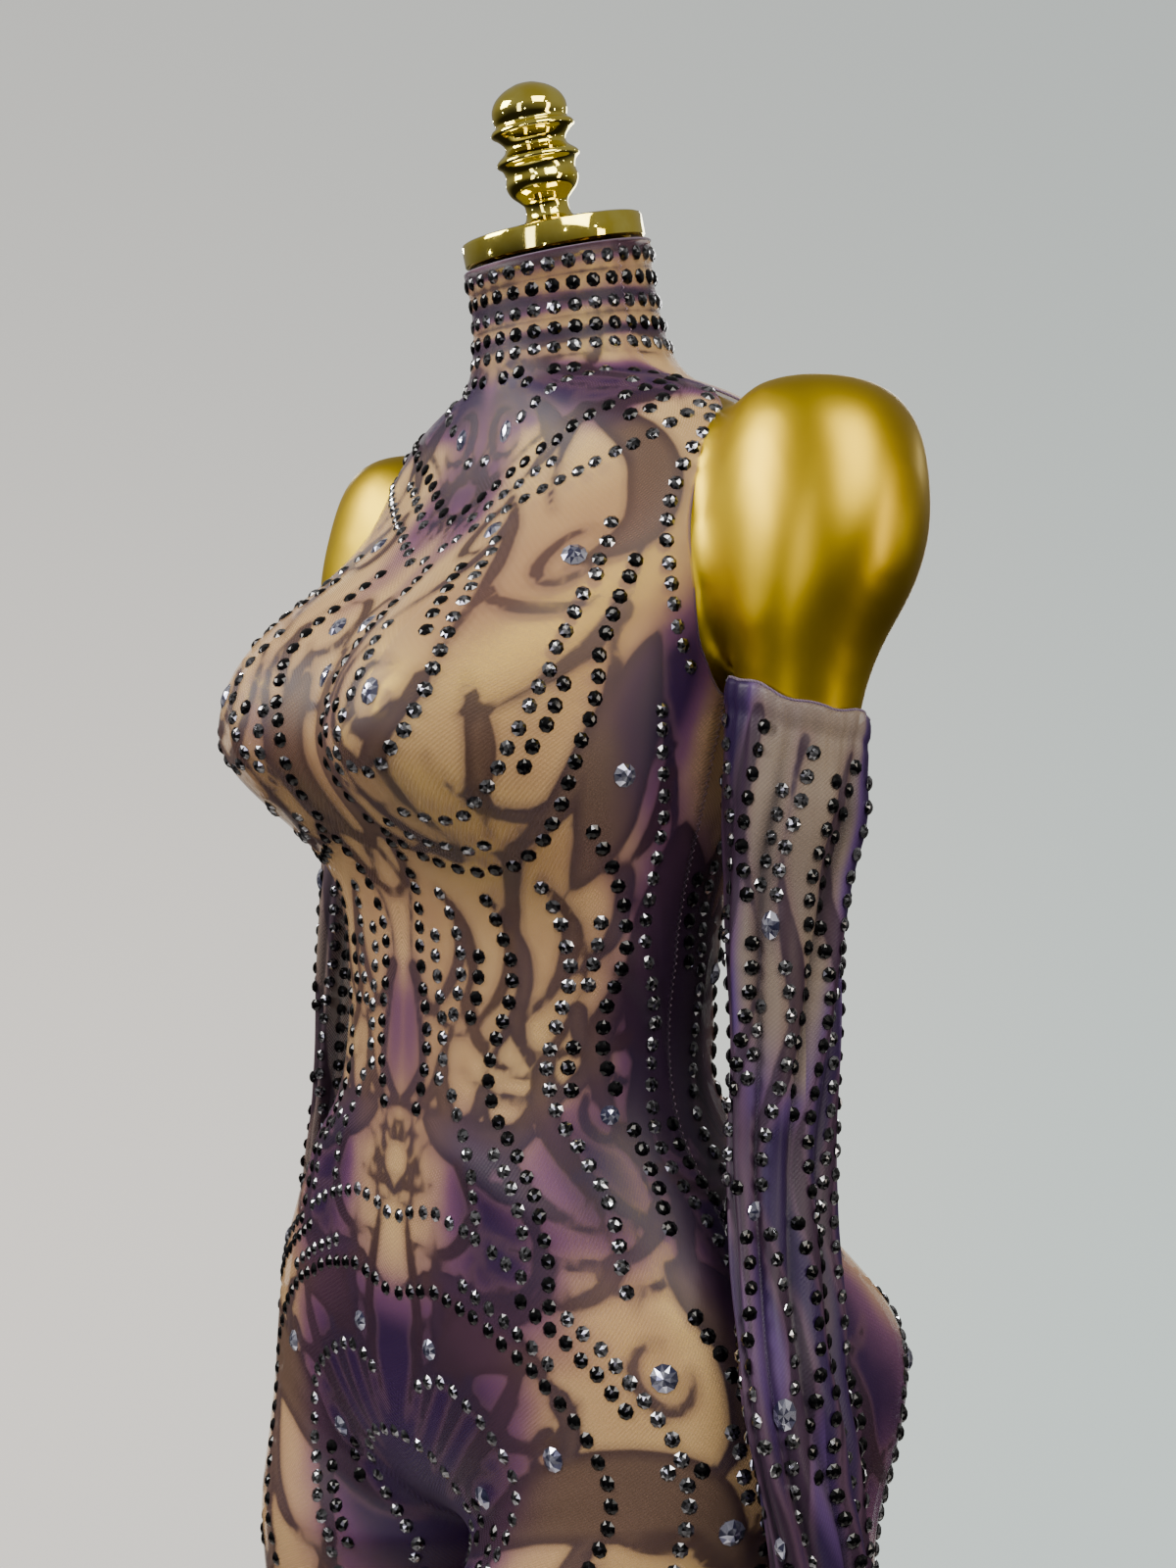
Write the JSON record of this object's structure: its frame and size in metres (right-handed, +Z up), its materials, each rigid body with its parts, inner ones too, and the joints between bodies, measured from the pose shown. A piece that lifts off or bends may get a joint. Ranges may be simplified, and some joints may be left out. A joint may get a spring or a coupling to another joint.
{
  "type": "rhinestone jumpsuit on a dress form",
  "caption": "Long-sleeved cold-shoulder jumpsuit of sheer printed mesh set with faceted stones, standing hollow on a gold limbless dress form with a finial.",
  "frame": {"origin": "centre of the underside of the base plate, on the floor", "axes": "+Z up, the form faces -Y, its left side is +X"},
  "size_m": [0.496, 0.396, 1.5703],
  "materials": {
    "mesh": "semi-sheer stretch mesh, nude and mauve, with glued stones",
    "zip": "enamelled metal",
    "satin_gold": "satin gold paint",
    "polished_gold": "polished pale gold plating",
    "steel": "brushed steel"
  },
  "bodies": {
    "stand": {"front": "mesh", "back_left": "mesh", "back_right": "mesh", "sleeve_left": "mesh", "sleeve_right": "mesh", "zip_slider": "zip", "dress_form": "satin_gold", "neck_cap": "polished_gold", "finial": "polished_gold", "pole_left": "steel", "pole_right": "steel", "base_plate": "steel"},
    "tab": {"pull_tab": "zip"}
  },
  "joints": [
    {"name": "tab_hinge", "type": "hinge", "parent": "stand", "child": "tab", "pos_m": [0, 0.04133, 1.48017], "axis": [1, 0, 0], "range_deg": [0, 140]}
  ]
}
